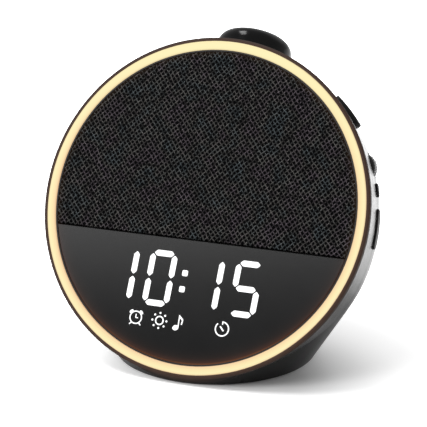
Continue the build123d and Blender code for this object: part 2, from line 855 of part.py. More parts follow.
with BuildPart() as speaker_cone:
    with BuildSketch(speaker_section):
        Polygon(
            (cone_edge, cone_front),
            (cone_edge, cone_front - cone_wall),
            (voice_coil_radius, cone_back - cone_wall),
            (voice_coil_radius, cone_back - cone_wall - voice_coil_length - basket_base),
            (voice_coil_radius - voice_coil_wall, cone_back - cone_wall - voice_coil_length - basket_base),
            (voice_coil_radius - voice_coil_wall, cone_back),
            (voice_coil_radius, cone_back),
            align=None,
        )
        with BuildLine():
            ThreePointArc(
                (0, cone_back + dust_cap_rise),
                (dust_cap_radius / 2, cone_back + dust_cap_rise * 3 / 4),
                (dust_cap_radius, cone_back),
            )
            Polyline(
                (dust_cap_radius, cone_back),
                (dust_cap_radius, cone_back + 2 * cone_wall),
            )
            ThreePointArc(
                (0, cone_back + dust_cap_rise + cone_wall),
                (dust_cap_radius / 2, cone_back + dust_cap_rise * 3 / 4 + cone_wall),
                (dust_cap_radius, cone_back + 2 * cone_wall),
            )
            Polyline(
                (0, cone_back + dust_cap_rise),
                (0, cone_back + dust_cap_rise + cone_wall),
            )
        make_face()
    revolve(axis=speaker_axis)
speaker_cone.part.label = "speaker_cone"

# Magnet with the gap for the coil.
with BuildPart() as speaker_magnet:
    with BuildSketch(moved_in(at_depth(magnet_height - basket_back), 0, speaker_height)):
        Circle(magnet_radius)
    extrude(amount=magnet_height)
    chamfer(speaker_magnet.edges(), magnet_chamfer)
    with BuildSketch(moved_in(at_depth(-basket_back), 0, speaker_height)):
        Circle(voice_coil_radius + coil_gap)
        Circle(voice_coil_radius - voice_coil_wall - coil_gap, mode=Mode.SUBTRACT)
    extrude(amount=-voice_coil_length, mode=Mode.SUBTRACT)
speaker_magnet.part.label = "speaker_magnet"

with BuildPart() as speaker_screws:
    for place in speaker_screw_places:
        seat = moved_in(behind(-flange_back), place[0], -place[1])
        add(screw_at(seat, speaker_flange + plate_thickness - gap))
speaker_screws.part.label = "speaker_screws"

# ------------------------------------------------------------------- main board
board_back = main_board_depth + board_thickness

with BuildPart() as main_board:
    with BuildSketch(at_depth(board_back)):
        with Locations((0, main_board_top)):
            Rectangle(main_board_width, main_board_top - main_board_bottom, align=(Align.CENTER, Align.MAX))
        Circle(main_board_radius, mode=Mode.INTERSECT)
        with Locations(*standoff_places):
            Circle(screw_radius + fit, mode=Mode.SUBTRACT)
    extrude(amount=board_thickness)
main_board.part.label = "main_board"

# Processor, amplifier and capacitors, and the header that joins the display.
with BuildPart() as board_parts:
    with BuildSketch(behind(board_back)):
        with Locations(processor_place):
            Rectangle(processor_width, processor_width)
        with Locations(amplifier_place):
            Rectangle(amplifier_width, amplifier_width)
    extrude(amount=chip_height)
    with BuildSketch(behind(board_back)):
        with Locations(capacitor_place):
            with GridLocations(capacitor_spread, 0, 2, 1):
                Circle(capacitor_radius)
    extrude(amount=capacitor_height)
    with BuildSketch(at_depth(main_board_depth)):
        with Locations(header_place):
            Rectangle(header_width, header_thickness)
    extrude(amount=main_board_depth - module_back - board_thickness)
board_parts.part.label = "board_parts"

# Holder and coin cell that keep the time.
with BuildPart() as cell_holder:
    with BuildSketch(behind(board_back)):
        with Locations(cell_place):
            Circle(cell_radius + gap + cell_wall)
    extrude(amount=cell_floor + cell_thickness)
    with BuildSketch(behind(board_back + cell_floor)):
        with Locations(cell_place):
            Circle(cell_radius + gap)
            with Locations((0, cell_radius)):
                Rectangle(cell_notch, 2 * cell_wall + cell_radius)
    extrude(amount=cell_thickness, mode=Mode.SUBTRACT)
cell_holder.part.label = "cell_holder"

with BuildPart() as backup_cell:
    with BuildSketch(behind(board_back + cell_floor)):
        with Locations(cell_place):
            Circle(cell_radius)
    extrude(amount=cell_thickness)
    chamfer(backup_cell.edges(), cell_chamfer)
backup_cell.part.label = "backup_cell"

with BuildPart() as board_screws:
    for place in standoff_places:
        add(screw_at(moved_in(behind(board_back), place[0], -place[1]), main_board_depth - plate_back))
board_screws.part.label = "board_screws"

# --------------------------------------------------------------- dial and shaft
# Turning and pressing encoder held in the ball's wall by its nut.
dial_section = Plane(origin=ball_centre, x_dir=(1, 0, 0), z_dir=(0, -cos(dial_angle), sin(dial_angle)))
dial_axis = Axis(ball_centre, dial_plane.z_dir)
encoder_base = encoder_seat - encoder_height
bush_top = encoder_seat + bush_length
plunger_low = encoder_base + encoder_floor + dial_travel + dial_slack
plunger_top = plunger_low + plunger_height

with BuildPart() as encoder_body:
    with BuildSketch(dial_at(encoder_base)):
        Rectangle(encoder_width, encoder_width)
    extrude(amount=encoder_height)
    with BuildSketch(dial_at(encoder_seat)):
        Circle(bush_radius)
    extrude(amount=bush_length)
    with BuildSketch(dial_at(encoder_base + encoder_floor)):
        Circle(plunger_radius + 2 * gap)
    extrude(amount=plunger_top + dial_slack - encoder_base - encoder_floor, mode=Mode.SUBTRACT)
    with BuildSketch(dial_at(bush_top)):
        Circle(shaft_radius + fit)
    extrude(amount=plunger_top - bush_top, mode=Mode.SUBTRACT)
encoder_body.part.label = "encoder_body"

with BuildPart() as encoder_nut:
    with BuildSketch(dial_at(ball_radius - spot_face_depth)):
        RegularPolygon(nut_flats / 2, 6, major_radius=False)
        Circle(bush_radius + fit, mode=Mode.SUBTRACT)
    extrude(amount=nut_height)
encoder_nut.part.label = "encoder_nut"

with BuildPart() as encoder_plunger:
    with BuildSketch(dial_at(plunger_low)):
        Circle(plunger_radius)
    extrude(amount=plunger_height)
encoder_plunger.part.label = "encoder_plunger"

# Shaft with a flat for the dial.
dial_top = ball_radius + dial_rise
dial_shoulder = dial_top - dial_crown
knob_low = ball_radius + dial_lift
shaft_top = dial_shoulder - dial_wall + dial_bite
flat_low = bush_top + dial_travel - fit
hub_low = bush_top + dial_travel + 2 * gap

with BuildPart() as encoder_shaft:
    with BuildSketch(dial_at(plunger_top + fit)):
        Circle(shaft_radius)
    extrude(amount=shaft_top - plunger_top - fit)
    with BuildSketch(dial_at(flat_low)):
        with Locations((shaft_flat, 0)):
            Rectangle(shaft_radius, 2 * shaft_radius, align=(Align.MIN, Align.CENTER))
    extrude(amount=shaft_top - flat_low, mode=Mode.SUBTRACT)
encoder_shaft.part.label = "encoder_shaft"

# Gloss dial: a crowned cap whose hub grips the shaft.
with BuildPart() as dial_knob:
    with BuildSketch(dial_section) as dial_outline:
        with BuildLine():
            ThreePointArc(
                (0, dial_top),
                (dial_radius / 2, dial_top - dial_crown / 4),
                (dial_radius, dial_shoulder),
            )
            Polyline((dial_radius, dial_shoulder), (dial_radius, knob_low), (0, knob_low), (0, dial_top))
        make_face()
        rim_corners = dial_outline.vertices().group_by(Axis.X)[-1]
        fillet(rim_corners.sort_by(Axis.Y)[-1], dial_round)
        chamfer(rim_corners.sort_by(Axis.Y)[0], dial_foot_chamfer)
    revolve(axis=dial_axis)
    with BuildSketch(dial_at(knob_low)):
        Circle(dial_radius - dial_wall)
    extrude(amount=hub_low - knob_low, mode=Mode.SUBTRACT)
    with BuildSketch(dial_at(hub_low)):
        Circle(dial_radius - dial_wall)
        Circle(dial_hub_radius, mode=Mode.SUBTRACT)
    extrude(amount=dial_shoulder - dial_wall - hub_low, mode=Mode.SUBTRACT)
    with BuildSketch(dial_at(hub_low)):
        Circle(shaft_radius + fit)
        with Locations((shaft_flat + fit, 0)):
            Rectangle(2 * shaft_radius, 3 * shaft_radius, align=(Align.MIN, Align.CENTER), mode=Mode.SUBTRACT)
    extrude(amount=shaft_top + gap - hub_low, mode=Mode.SUBTRACT)
dial_knob.part.label = "dial_knob"

# ----------------------------------------------------------- side push controls
# Each button slides outward in its own hole; a flange inside keeps it in.
with BuildPart() as upper_button:
    add(button_form(upper_button_angle, upper_button_length, button_width, flange_margin, upper_button_proud))
upper_button.part.label = "upper_button"

with BuildPart() as small_button:
    size = (small_button_length, small_button_width, small_button_margin, button_proud)
    add(button_form(small_button_angle, *size))
small_button.part.label = "small_button"

with BuildPart() as lower_button:
    add(button_form(lower_button_angle, lower_button_length, button_width, flange_margin, button_proud))
lower_button.part.label = "lower_button"

# Tact switches on the side board, one under each button's stem.
with BuildPart() as button_switches:
    for angle in (upper_button_angle, small_button_angle, lower_button_angle):
        with BuildSketch(at_depth(side_board_back + switch_height)):
            with Locations(polar_point(switch_top - switch_reach / 2, angle)):
                Rectangle(switch_reach, switch_length, rotation=angle)
        extrude(amount=switch_height)
        with BuildSketch(outward(angle, switch_top)):
            with Locations((0, control_depth - side_board_back - switch_height / 2)):
                Circle(actuator_radius)
        extrude(amount=actuator_length)
button_switches.part.label = "button_switches"

# Thumbwheel with grooves round its rim, on the pin of its potentiometer.
with BuildPart() as volume_wheel:
    with BuildSketch(at_depth(wheel_front + wheel_thickness)):
        with Locations(polar_point(wheel_centre, wheel_angle)):
            Circle(wheel_radius)
    extrude(amount=wheel_thickness)
    chamfer(volume_wheel.edges().filter_by(GeomType.CIRCLE), wheel_chamfer)
    with BuildSketch(at_depth(wheel_front + wheel_thickness)):
        with Locations(polar_point(wheel_centre, wheel_angle)):
            with PolarLocations(wheel_radius, wheel_teeth):
                Rectangle(tooth_depth, tooth_depth, rotation=45)
    extrude(amount=wheel_thickness, mode=Mode.SUBTRACT)
    with BuildSketch(at_depth(wheel_front + pin_length + gap)):
        with Locations(polar_point(wheel_centre, wheel_angle)):
            Circle(pin_radius + fit)
    extrude(amount=pin_length + gap, mode=Mode.SUBTRACT)
volume_wheel.part.label = "volume_wheel"

with BuildPart() as volume_pot:
    with BuildSketch(at_depth(side_board_back + pot_height)):
        with Locations(polar_point(side_board_outer - pot_reach / 2, wheel_angle)):
            Rectangle(pot_reach, pot_width, rotation=wheel_angle)
    extrude(amount=pot_height)
    with BuildSketch(at_depth(side_board_back + pot_height)):
        with Locations(polar_point(wheel_centre, wheel_angle)):
            Circle(pin_radius)
    extrude(amount=-pin_length)
volume_pot.part.label = "volume_pot"

# Board that carries switches and potentiometer, screwed to two long posts.
with BuildPart() as side_board:
    with BuildSketch(at_depth(side_board_back)):
        Circle(side_board_outer)
        Circle(side_board_inner, mode=Mode.SUBTRACT)
        Polygon(
            (0, 0),
            polar_point(2 * side_board_outer, side_board_start),
            polar_point(2 * side_board_outer, (side_board_start + side_board_end) / 2),
            polar_point(2 * side_board_outer, side_board_end),
            align=None,
            mode=Mode.INTERSECT,
        )
        with Locations(*(polar_point(side_post_circle, angle) for angle in side_post_angles)):
            Circle(screw_radius + fit, mode=Mode.SUBTRACT)
    extrude(amount=board_thickness)
side_board.part.label = "side_board"

with BuildPart() as side_screws:
    for angle in side_post_angles:
        seat = moved_in(at_depth(side_board_front), *polar_point(side_post_circle, angle))
        add(screw_at(seat, post_length / 2))
side_screws.part.label = "side_screws"

# ------------------------------------------------------- rear cover and inlet
# Cap that continues the ball, with vent slots and a pocket for the power plug.
inlet_pad_back = pocket_floor - inlet_pad_thickness
inlet_board_top = -inlet_drop - inlet_height / 2

with BuildPart() as rear_cover:
    with BuildSketch(rear_at(cover_seat)):
        Circle(cover_radius)
    extrude(amount=ball_radius - cover_seat)
    with Locations(ball_centre):
        Sphere(ball_radius - wall, mode=Mode.SUBTRACT)
    with BuildSketch(rear_at(cover_seat)):
        with Locations(*(polar_point(cover_boss_circle, angle) for angle in cover_boss_angles)):
            Circle(cover_screw_pad)
    extrude(amount=counterbore_floor + cover_rim - cover_seat)
    with BuildSketch(rear_at(inlet_pad_back)):
        with Locations((0, -inlet_drop)):
            Rectangle(inlet_pad_width, inlet_pad_height)
    extrude(amount=inlet_pad_thickness)
    with BuildSketch(rear_at(inlet_pad_back)):
        with Locations((0, inlet_board_top - inlet_board_thickness - rail_height / 2)):
            with GridLocations(rail_spread, 0, 2, 1):
                Rectangle(rail_width, rail_height)
    extrude(amount=-rail_length)
    with Locations(ball_centre):
        Sphere(ball_radius, mode=Mode.INTERSECT)
    with BuildSketch(rear_at(counterbore_floor)):
        with Locations(*(polar_point(cover_boss_circle, angle) for angle in cover_boss_angles)):
            Circle(counterbore_radius)
    extrude(amount=ball_radius - counterbore_floor, mode=Mode.SUBTRACT)
    with BuildSketch(rear_at(cover_seat)):
        with Locations(*(polar_point(cover_boss_circle, angle) for angle in cover_boss_angles)):
            Circle(screw_radius + fit)
    extrude(amount=counterbore_floor - cover_seat, mode=Mode.SUBTRACT)
    with BuildSketch(rear_at(cover_seat)):
        with Locations((0, vent_height)):
            with GridLocations(0, vent_pitch, 1, vent_count):
                SlotOverall(vent_length, vent_width)
    extrude(amount=ball_radius - cover_seat, mode=Mode.SUBTRACT)
    with BuildSketch(rear_at(pocket_floor)):
        with Locations((0, -inlet_drop)):
            RectangleRounded(pocket_width, pocket_height, pocket_round)
    extrude(amount=ball_radius - pocket_floor, mode=Mode.SUBTRACT)
    with BuildSketch(rear_at(inlet_pad_back)):
        with Locations((0, -inlet_drop)):
            SlotOverall(inlet_width + 2 * gap, inlet_height + 2 * gap)
    extrude(amount=inlet_pad_thickness, mode=Mode.SUBTRACT)
rear_cover.part.label = "rear_cover"

with BuildPart() as cover_screws:
    for angle in cover_boss_angles:
        place = polar_point(cover_boss_circle, angle)
        add(screw_at(moved_in(rear_at(counterbore_floor), *place), cover_boss_length))
cover_screws.part.label = "cover_screws"

# Drawn metal socket with its tongue.
with BuildPart() as power_inlet:
    with BuildSketch(rear_at(inlet_mouth - inlet_length)):
        with Locations((0, -inlet_drop)):
            SlotOverall(inlet_width, inlet_height)
    extrude(amount=inlet_length)
    with BuildSketch(rear_at(inlet_mouth)):
        with Locations((0, -inlet_drop)):
            SlotOverall(inlet_width - 2 * inlet_wall, inlet_height - 2 * inlet_wall)
    extrude(amount=inlet_back - inlet_length, mode=Mode.SUBTRACT)
    with BuildSketch(rear_at(inlet_mouth - inlet_length)):
        with Locations((0, -inlet_drop)):
            Rectangle(tongue_width, tongue_thickness)
    extrude(amount=inlet_length - inlet_back / 2)
power_inlet.part.label = "power_inlet"

with BuildPart() as inlet_board:
    with BuildSketch(rear_at(inlet_pad_back - gap)):
        with Locations((0, inlet_board_top - inlet_board_thickness / 2)):
            Rectangle(inlet_board_width, inlet_board_thickness)
    extrude(amount=-inlet_board_length)
inlet_board.part.label = "inlet_board"

os.makedirs("parts", exist_ok=True)
pieces = (
    main_housing,
    foot_pad,
    light_ring,
    ring_reflector,
    ring_board,
    ring_lamps,
    front_frame,
    frame_screws,
    grille_plate,
    grille_cloth,
    display_lens,
    display_module,
    digit_segments,
    display_board,
    display_screws,
    speaker_basket,
    speaker_surround,
    speaker_cone,
    speaker_magnet,
    speaker_screws,
    main_board,
    board_parts,
    cell_holder,
    backup_cell,
    board_screws,
    encoder_body,
    encoder_nut,
    encoder_plunger,
    encoder_shaft,
    dial_knob,
    upper_button,
    small_button,
    lower_button,
    button_switches,
    volume_wheel,
    volume_pot,
    side_board,
    side_screws,
    rear_cover,
    cover_screws,
    power_inlet,
    inlet_board,
)
for piece in pieces:
    export_step(piece.part, f"parts/{piece.part.label}.step")
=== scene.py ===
from math import atan2, cos, pi, radians, sin, sqrt, tan
import bpy
from mathutils import Matrix, Quaternion, Vector


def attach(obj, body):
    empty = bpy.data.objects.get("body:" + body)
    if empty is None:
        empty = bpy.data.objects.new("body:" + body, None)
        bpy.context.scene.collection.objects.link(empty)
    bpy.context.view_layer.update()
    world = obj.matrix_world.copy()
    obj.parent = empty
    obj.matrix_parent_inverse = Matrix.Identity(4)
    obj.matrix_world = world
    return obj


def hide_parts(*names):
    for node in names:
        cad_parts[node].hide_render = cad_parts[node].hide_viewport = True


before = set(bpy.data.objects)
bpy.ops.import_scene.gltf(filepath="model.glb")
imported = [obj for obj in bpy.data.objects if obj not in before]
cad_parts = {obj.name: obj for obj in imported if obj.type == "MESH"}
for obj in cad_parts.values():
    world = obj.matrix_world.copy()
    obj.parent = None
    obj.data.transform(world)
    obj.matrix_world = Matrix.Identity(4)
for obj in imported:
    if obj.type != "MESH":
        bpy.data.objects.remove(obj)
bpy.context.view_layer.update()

# ------------------------------------------------------------------- the camera
# The clock's round face leans back. Its middle is the point looked at, and its
# slope places everything that lies on the face.
LEAN = radians(24.6)
FACE = Vector((0, -0.0138204, 0.0629275))
CAMERA_TURN, CAMERA_RISE, CAMERA_REACH = radians(21.3), radians(17.8), 0.956
FILM_WIDTH, FOCAL_LENGTH, FILM_SHIFT = 36, 210.77, (0.0239, -0.0162)
NEAREST, FARTHEST = 0.05, 20

back = Vector((
    sin(CAMERA_TURN) * cos(CAMERA_RISE),
    -cos(CAMERA_TURN) * cos(CAMERA_RISE),
    sin(CAMERA_RISE)))
right = Vector((cos(CAMERA_TURN), sin(CAMERA_TURN), 0))
rise = back.cross(right)
lens = bpy.data.cameras.new("camera")
lens.sensor_width = FILM_WIDTH
lens.lens = FOCAL_LENGTH
lens.shift_x, lens.shift_y = FILM_SHIFT
lens.clip_start, lens.clip_end = NEAREST, FARTHEST
camera = bpy.data.objects.new("camera", lens)
bpy.context.scene.collection.objects.link(camera)
camera.matrix_world = Matrix([
    (right[axis], rise[axis], back[axis], FACE[axis] + CAMERA_REACH * back[axis])
    for axis in range(3)] + [(0, 0, 0, 1)])
bpy.context.scene.camera = camera
bpy.context.scene.view_settings.view_transform = "Standard"

# --------------------------------------------------------- floor, sky and lamps
# Plain pale studio: a white floor that keeps the soft shadow under the clock, with painted shade added round
# it, a white room that gloss and glass mirror, and large soft lamps.
WHITE = (1, 1, 1)
FLOOR_WIDTH = 8
ROOM_LIGHT, SKY_LIGHT = 0.5, 1
# The floor's glow makes it white far off and leaves painted shade round the clock: as it is seen straight on
# and as gloss mirrors it, it grows with the distance from a middle: pairs of distance and strength.
SHADOW_MIDDLE, MIRRORED_SHADE_MIDDLE = (0.022, -0.030, 0), (0, 0, 0)
SHADOW_FADE = ((0.022, 0), (0.038, 0.16), (0.046, 0.24), (0.056, 0.38),
               (0.065, 0.48), (0.080, 0.58), (0.12, 0.75), (0.19, 1.0))
MIRRORED_SHADE_FADE = ((0.085, 0), (0.12, 0.6), (0.17, 1.0))


def deselect():
    bpy.ops.object.select_all(action="DESELECT")


def blank_material(name):
    """A new material, its node tree and the plain surface shader in it."""
    made = bpy.data.materials.new(name)
    made.use_nodes = True
    return made, made.node_tree, made.node_tree.nodes["Principled BSDF"]


def connect(tree, value, socket):
    """A link, or else a plain value, goes into a socket."""
    if isinstance(value, bpy.types.NodeSocket):
        tree.links.new(value, socket)
    elif socket.type == "RGBA":
        socket.default_value = (*value, 1)
    else:
        socket.default_value = value


def set_sockets(tree, node, values):
    """Links and plain values for a node's sockets, by the sockets' names."""
    for name, value in values.items():
        connect(tree, value, node.inputs[name])


def ramp(tree, value, stops):
    """Colour ramp with stops of place and colour."""
    made = tree.nodes.new("ShaderNodeValToRGB")
    band = made.color_ramp
    while len(band.elements) < len(stops):
        band.elements.new(0.5)
    for stop, (place, colour) in zip(band.elements, stops):
        stop.position = place
        stop.color = (*colour, 1)
    tree.links.new(value, made.inputs["Fac"])
    return made.outputs["Color"]


def maths(tree, operation, *values):
    """One sum of links and plain numbers."""
    made = tree.nodes.new("ShaderNodeMath")
    made.operation = operation
    for value, socket in zip(values, made.inputs):
        connect(tree, value, socket)
    return made.outputs[0]


def vector_maths(tree, operation, *values):
    """One sum of linked and plain vectors."""
    made = tree.nodes.new("ShaderNodeVectorMath")
    made.operation = operation
    for value, socket in zip(values, made.inputs):
        connect(tree, value, socket)
    return made.outputs["Value" if operation == "DISTANCE" else "Vector"]


deselect()
bpy.ops.mesh.primitive_plane_add(size=FLOOR_WIDTH, location=(0, 0, 0))
floor = bpy.context.object
floor.name = "floor"
paper, tree, surface = blank_material("floor_paper")
place = tree.nodes.new("ShaderNodeTexCoord").outputs["Object"]
path = tree.nodes.new("ShaderNodeLightPath")
# Painted shade round the clock: the floor's glow is least near it, seen straight on and in gloss.
lifts = []
for middle, ray, fade in (
        (SHADOW_MIDDLE, "Is Camera Ray", SHADOW_FADE),
        (MIRRORED_SHADE_MIDDLE, "Is Glossy Ray", MIRRORED_SHADE_FADE)):
    away = vector_maths(tree, "DISTANCE", place, middle)
    lift = ramp(tree, away, [(distance, (glow, glow, glow)) for distance, glow in fade])
    lifts.append(maths(tree, "MULTIPLY", lift, path.outputs[ray]))
set_sockets(tree, surface, {
    "Base Color": (0.93, 0.93, 0.93),
    "Roughness": 0.4,
    "Specular IOR Level": 0.3,
    "Emission Color": WHITE,
    "Emission Strength": maths(tree, "ADD", *lifts)})
floor.data.materials.append(paper)


def even_light(tree, strength):
    """White light of one strength from all round."""
    made = tree.nodes.new("ShaderNodeBackground")
    set_sockets(tree, made, {"Color": WHITE, "Strength": strength})
    return made.outputs[0]


world = bpy.context.scene.world or bpy.data.worlds.new("room")
bpy.context.scene.world = world
world.use_nodes = True
tree = world.node_tree
tree.nodes.clear()
path = tree.nodes.new("ShaderNodeLightPath")
seen = maths(tree, "MAXIMUM", path.outputs["Is Camera Ray"], path.outputs["Is Glossy Ray"])
seen = maths(tree, "MAXIMUM", seen, path.outputs["Is Transmission Ray"])
choose = tree.nodes.new("ShaderNodeMixShader")
tree.links.new(seen, choose.inputs["Fac"])
tree.links.new(even_light(tree, ROOM_LIGHT), choose.inputs[1])
tree.links.new(even_light(tree, SKY_LIGHT), choose.inputs[2])
out = tree.nodes.new("ShaderNodeOutputWorld")
tree.links.new(choose.outputs[0], out.inputs["Surface"])


def soft_lamp(name, place, aim, size, power, roll=0.0):
    """Oblong lamp at a place, aimed at a point and rolled about its own beam."""
    light = bpy.data.lights.new(name, "AREA")
    light.shape = "RECTANGLE"
    light.size, light.size_y = size
    light.energy = power
    lamp = bpy.data.objects.new(name, light)
    bpy.context.scene.collection.objects.link(lamp)
    lamp.location = place
    aimed = (Vector(aim) - Vector(place)).to_track_quat("-Z", "Y")
    lamp.rotation_euler = (aimed @ Quaternion((0, 0, 1), roll)).to_euler()


soft_lamp("lamp_key", (-0.62, -0.955, 0.88), aim=(0, 0, 0.06), size=(0.8, 0.6), power=12.5, roll=radians(25))
soft_lamp("lamp_top", (-0.54, -0.06, 1.38), aim=(0, 0, 0.12), size=(0.85, 0.36), power=22.0)
soft_lamp("lamp_back", (0.50, 1.15, 0.90), aim=(0, 0, 0.05), size=(1.4, 0.9), power=1.6)

# ----------------------------------------------------------------- the housing
# Ball-shaped shell of black ABS with a fine eroded mould texture, moulded in one
# piece with foot and collar; the rear cover is of the same plastic, screwed in.
# Its front rim is duller, and a painted glow of the ring's light reaches a little way into it.
RING_INNER, RING_OUTER = 0.06124, 0.0646
RIM_BEHIND, RIM_FRONT, RIM_DULLNESS = -0.0042, -0.0026, 0.5
GLOW_FALL = 2.4


def noise(tree, place, size, detail=3.0, rough=0.6, output="Fac"):
    """Noise with grains of a size in metres."""
    made = tree.nodes.new("ShaderNodeTexNoise")
    set_sockets(tree, made, {
        "Vector": place, "Scale": 1 / size, "Detail": detail, "Roughness": rough})
    return made.outputs[output]


def spread(tree, value, low, high, start=0.3, end=0.7):
    """A value from start to end, spread from low to high."""
    made = tree.nodes.new("ShaderNodeMapRange")
    set_sockets(tree, made, {
        "Value": value, "From Min": start, "From Max": end, "To Min": low, "To Max": high})
    return made.outputs["Result"]


def blend_colours(tree, share, first, second):
    """Two colours, plain or linked, mixed by a share from 0 to 1."""
    made = tree.nodes.new("ShaderNodeMix")
    made.data_type = "RGBA"
    connect(tree, share, made.inputs[0])
    connect(tree, first, made.inputs[6])
    connect(tree, second, made.inputs[7])
    return made.outputs[2]


def relief(tree, surface, height, depth, strength=1.0):
    """Height as bump on the surface, depth in metres."""
    made = tree.nodes.new("ShaderNodeBump")
    set_sockets(tree, made, {"Distance": depth, "Strength": strength, "Height": height})
    tree.links.new(made.outputs["Normal"], surface.inputs["Normal"])


def moulded(name, dark, light, rough, grain, depth, mottle=0.008, specular=0.5, metal=0.0):
    """Moulded, cast or plated surface: fine grain as bump, larger mottling in
    colour and in roughness, which is given as its lowest and highest value."""
    made, tree, surface = blank_material(name)
    place = tree.nodes.new("ShaderNodeTexCoord").outputs["Object"]
    patches = noise(tree, place, mottle, 4, 0.65)
    set_sockets(tree, surface, {
        "Base Color": blend_colours(tree, spread(tree, patches, 0, 1), dark, light),
        "Roughness": spread(tree, patches, *rough),
        "Specular IOR Level": specular,
        "Metallic": metal})
    relief(tree, surface, noise(tree, place, grain, 2, 0.5), depth)
    return made


def finish(material, *names):
    """CAD nodes get a material of the scene in place of their own."""
    for name in names:
        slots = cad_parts[name].data.materials
        slots.clear()
        slots.append(material)


def face_place(tree):
    """Object coordinates turned into the face's own: x across, y up, z out."""
    made = tree.nodes.new("ShaderNodeMapping")
    made.vector_type = "TEXTURE"
    set_sockets(tree, made, {
        "Vector": tree.nodes.new("ShaderNodeTexCoord").outputs["Object"],
        "Location": FACE,
        "Rotation": (pi / 2 - LEAN, 0, 0)})
    return made.outputs["Vector"]


def apart(tree, place):
    """The three parts of a place."""
    made = tree.nodes.new("ShaderNodeSeparateXYZ")
    tree.links.new(place, made.inputs[0])
    return made.outputs


def diagonal(tree, first, second):
    """Long side of a right-angled triangle with two given sides."""
    squares = [maths(tree, "MULTIPLY", side, side) for side in (first, second)]
    return maths(tree, "SQRT", maths(tree, "ADD", *squares))


def over_face(tree, place):
    """Distance from the face's middle, height up the face and height out of it."""
    x, y, z = apart(tree, place)
    return diagonal(tree, x, y), y, z


def painted_ring_glow(material, radius, reach, colour):
    """Painted glow of the ring's light on the piece beside it, from the ring's edge at a radius; it fades
    over its reach."""
    tree = material.node_tree
    distance, up, out = over_face(tree, face_place(tree))
    away = diagonal(tree, maths(tree, "SUBTRACT", distance, radius), out)
    near = maths(tree, "POWER", spread(tree, away, low=1, high=0, start=0, end=reach), GLOW_FALL)
    set_sockets(tree, tree.nodes["Principled BSDF"], {
        "Emission Color": blend_colours(tree, near, (0, 0, 0), colour),
        "Emission Strength": 1.0})


shell_black = moulded("shell_black", (0.0082, 0.0080, 0.0080), (0.0125, 0.0122, 0.0120),
                      rough=(0.21, 0.26), grain=0.0005, depth=0.000006, specular=0.12)
# Painted glow of the ring's light on the housing, beside the ring's outer edge.
painted_ring_glow(shell_black, RING_OUTER, reach=0.0060, colour=(0.050, 0.018, 0.0065))
tree = shell_black.node_tree
distance, up, out = over_face(tree, face_place(tree))
dullness = spread(tree, out, 0, RIM_DULLNESS, RIM_BEHIND, RIM_FRONT)
roughness = tree.nodes["Principled BSDF"].inputs["Roughness"]
smooth_side = roughness.links[0].from_socket
tree.links.new(maths(tree, "ADD", smooth_side, dullness), roughness)
finish(shell_black, "main_housing", "rear_cover")

# -------------------------------------------------------------- the light ring
# Milky diffuser ring of opal polycarbonate, seated in the collar and lit from
# behind by warm lamps: pale yellow in the middle of its width, deeper amber
# towards both edges, and paler all across at its top.
SIDE_GLOW = (
    (0.0, (0.78, 0.52, 0.30)), (0.12, (0.88, 0.66, 0.37)), (0.40, (0.92, 0.76, 0.41)),
    (0.75, (0.92, 0.83, 0.46)), (0.93, (0.90, 0.74, 0.42)), (1.0, (0.74, 0.52, 0.29)))
TOP_GLOW = (
    (0.0, (0.84, 0.70, 0.40)), (0.10, (0.90, 0.81, 0.44)), (0.5, (0.92, 0.83, 0.45)),
    (0.92, (0.91, 0.80, 0.43)), (1.0, (0.76, 0.62, 0.36)))
SIDE_HEIGHT, TOP_HEIGHT = 0.01, 0.06
CLOUDS, CLOUD_SIZE = 0.12, 0.012

opal, tree, surface = blank_material("opal_glow")
place = face_place(tree)
distance, up, out = over_face(tree, place)
cloudy = maths(tree, "MULTIPLY_ADD", noise(tree, place, CLOUD_SIZE), CLOUDS, -CLOUDS / 2)
width = maths(tree, "ADD", spread(tree, distance, 0, 1, RING_INNER, RING_OUTER), cloudy)
near_top = spread(tree, up, 0, 1, SIDE_HEIGHT, TOP_HEIGHT)
glow = blend_colours(tree, near_top, ramp(tree, width, SIDE_GLOW), ramp(tree, width, TOP_GLOW))
set_sockets(tree, surface, {
    "Emission Color": glow,
    "Emission Strength": 1.0,
    "Base Color": (0.02, 0.015, 0.01),
    "Roughness": 0.4,
    "Specular IOR Level": 0.15})
relief(tree, surface, noise(tree, place, size=0.0006), depth=0.000008)
finish(opal, "light_ring")

# ------------------------------------------------------------- the front frame
# Black carrier of glass-filled ABS, screwed in behind the face: only its lip
# shows, as a thin line between ring and inlay. The grille's plate and the housing
# of the display, which it carries, are of a duller black ABS.
lip_black = moulded("lip_black", (0.006, 0.005, 0.0045), (0.012, 0.009, 0.007),
                    rough=(0.4, 0.5), grain=0.0004, depth=0.000008, specular=0.15)
inner_black = moulded("inner_black", (0.014, 0.014, 0.014), (0.024, 0.024, 0.025),
                      rough=(0.5, 0.62), grain=0.0008, depth=0.00002)
finish(lip_black, "front_frame")
finish(inner_black, "grille_plate", "display_module")

# -------------------------------------------------------------- the woven cloth
# Black polyester speaker mesh with diamond-shaped meshes, cut to the shape of the
# grille, drawn tight over its plate, down its rounded edge and glued inside.
CLOTH_RADIUS, CLOTH_BOTTOM = 0.06044, -0.0129
CLOTH_FRONT, CLOTH_DEPTH, CLOTH_ROUND = -0.00041, 0.0019, 0.00045
CLOTH_COLUMNS, CLOTH_ROWS = 260, 150
MESH_ACROSS, MESH_UP, MESH_TURN = 0.00196, 0.00224, radians(3)
WANDER_SIZE, WANDER_REACH = 0.0032, 0.0011
FLUFF_SIZE, STRAND_SIZE, TINT_SIZE = 0.0005, 0.0011, 0.010
THREAD_CORE, THREAD_EDGE = 0.08, 0.60
TOUCH = 1e-6


def on_face(piece):
    """A piece modelled flat is set on the leaning face, its place in its mesh."""
    deselect()
    piece.select_set(True)
    bpy.context.view_layer.objects.active = piece
    piece.location = FACE
    piece.rotation_euler = (pi / 2 - LEAN, 0, 0)
    bpy.ops.object.transform_apply(location=True, rotation=True, scale=True)


def on_edge(turn):
    """Point of the cloth's round edge, at an angle from the right."""
    return Vector((CLOTH_RADIUS * cos(turn), CLOTH_RADIUS * sin(turn)))


